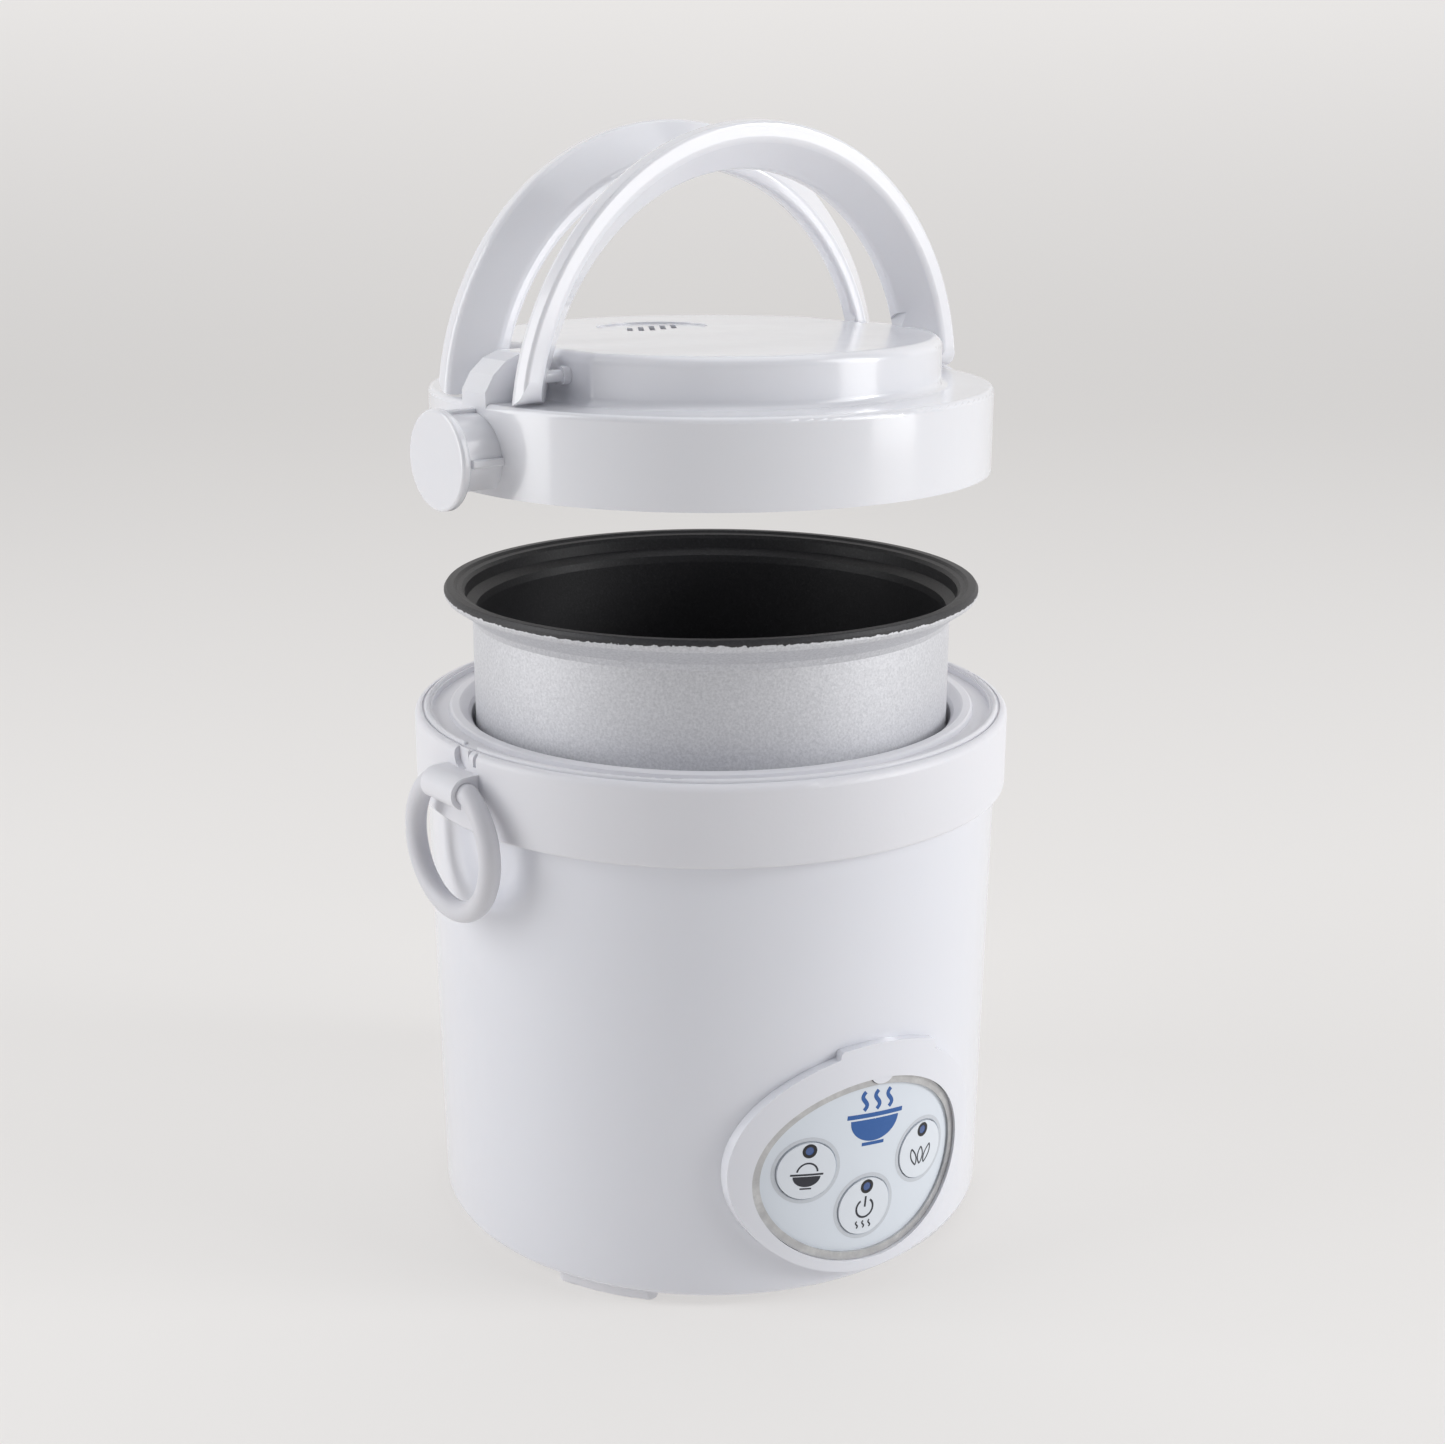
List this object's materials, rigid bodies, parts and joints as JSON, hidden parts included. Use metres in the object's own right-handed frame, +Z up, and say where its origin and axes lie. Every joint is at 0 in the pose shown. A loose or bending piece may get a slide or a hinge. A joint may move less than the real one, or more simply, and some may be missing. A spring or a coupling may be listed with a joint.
{
  "type": "rice cooker",
  "caption": "Small carry-along rice cooker: round body with a key panel, lift-out pot, latching lid with ring clips and folding carry handles.",
  "frame": {"origin": "on the surface that the feet stand on, on the cooker's own vertical axis", "axes": "+Z up; the front that faces a viewer is towards -Y, with the key panel to the right of it"},
  "size_m": [0.157, 0.157, 0.2869],
  "materials": {
    "body_plastic": "glossy cool-white moulded plastic",
    "collar_plastic": "satin off-white moulded plastic",
    "lid_plastic": "glossy cool-white moulded plastic",
    "pot_metal": "fine-blasted silver outside, charcoal non-stick inside",
    "steel": "plain steel",
    "cast_aluminium": "cast and turned aluminium",
    "ring_metal": "mottled bright ring",
    "overlay_plastic": "pale satin panel film",
    "indicator_blue": "dark blue lens",
    "board": "green circuit board",
    "component": "black moulded component",
    "silicone": "translucent pale silicone",
    "wire_red": "red insulation",
    "wire_blue": "blue insulation",
    "wire_grey": "grey insulation"
  },
  "bodies": {
    "housing": {"base_plate": "body_plastic", "base_screws": "steel", "body_shell": "body_plastic", "capacitors": "component", "collar": "collar_plastic", "control_board": "board", "feet": "body_plastic", "fuse_clip": "steel", "heater_element": "cast_aluminium", "heating_plate": "cast_aluminium", "indicator_lamps": "indicator_blue", "inlet_pins": "steel", "inlet_screws": "steel", "inner_liner": "steel", "key_switches": "component", "liner_screws": "steel", "mains_lead_live": "wire_red", "mains_lead_neutral": "wire_blue", "panel_bezel": "body_plastic", "panel_overlay": "overlay_plastic", "panel_ring": "ring_metal", "plate_screws": "steel", "plate_standoffs": "steel", "power_board": "board", "power_board_screws": "steel", "power_inlet": "body_plastic", "relay": "component", "ribbon_lead": "wire_grey", "ring_hanger_left": "collar_plastic", "ring_hanger_right": "collar_plastic", "sensor_guide": "steel", "sensor_spring": "steel", "thermal_fuse": "component", "transformer": "component"},
    "pot": {"inner_pot": "pot_metal"},
    "sensor": {"sensor_cap": "cast_aluminium", "sensor_stem": "cast_aluminium"},
    "ring_left": {"latch_ring_left": "collar_plastic"},
    "ring_right": {"latch_ring_right": "collar_plastic"},
    "lid": {"lid_cover": "lid_plastic", "lid_inner_shell": "lid_plastic", "lid_plate": "cast_aluminium", "lid_gasket": "silicone", "lid_screws": "steel", "steam_vent": "lid_plastic", "latch_knob_left": "lid_plastic", "latch_knob_right": "lid_plastic", "knob_screws": "steel", "handle_pins": "steel"},
    "handle_front": {"handle_front": "lid_plastic"},
    "handle_back": {"handle_back": "lid_plastic"},
    "key_left": {"button_left": "overlay_plastic", "window_left": "indicator_blue"},
    "key_right": {"button_right": "overlay_plastic", "window_right": "indicator_blue"},
    "key_power": {"button_power": "overlay_plastic", "window_power": "indicator_blue"}
  },
  "joints": [
    {"name": "pot_lift", "type": "slide", "parent": "housing", "child": "pot", "axis": [0, 0, 1], "range_m": [-0.0272, 0]},
    {"name": "lid_lift", "type": "slide", "parent": "pot", "child": "lid", "axis": [0, 0, 1], "range_m": [-0.0363, 0.04]},
    {"name": "sensor_press", "type": "slide", "parent": "housing", "child": "sensor", "axis": [0, 0, -1], "range_m": [0, 0.0023], "deforming": ["sensor_spring"]},
    {"name": "latch_left", "type": "hinge", "parent": "housing", "child": "ring_left", "pos_m": [-0.06373, -0.0516, 0.13], "axis": [-0.6293, 0.7771, 0], "range_deg": [0, 180]},
    {"name": "latch_right", "type": "hinge", "parent": "housing", "child": "ring_right", "pos_m": [0.06373, 0.0516, 0.13], "axis": [0.6293, -0.7771, 0], "range_deg": [0, 180]},
    {"name": "handle_front_fold", "type": "hinge", "parent": "lid", "child": "handle_front", "pos_m": [0.00812, -0.01003, 0.2289], "axis": [0.7771, 0.6293, 0], "range_deg": [-8.4, 87.6]},
    {"name": "handle_back_fold", "type": "hinge", "parent": "lid", "child": "handle_back", "pos_m": [-0.00812, 0.01003, 0.2289], "axis": [-0.7771, -0.6293, 0], "range_deg": [-6.5, 89.5]},
    {"name": "press_left", "type": "slide", "parent": "housing", "child": "key_left", "axis": [-0.521, 0.8536, 0], "range_m": [0, 0.0008], "stiffness_N_per_m": 900},
    {"name": "press_right", "type": "slide", "parent": "housing", "child": "key_right", "axis": [-0.521, 0.8536, 0], "range_m": [0, 0.0008], "stiffness_N_per_m": 900},
    {"name": "press_power", "type": "slide", "parent": "housing", "child": "key_power", "axis": [-0.521, 0.8536, 0], "range_m": [0, 0.0008], "stiffness_N_per_m": 900}
  ],
  "couplings": [
    {"joint": "sensor_press", "follows": "pot_lift", "ratio": -0.0845}
  ]
}
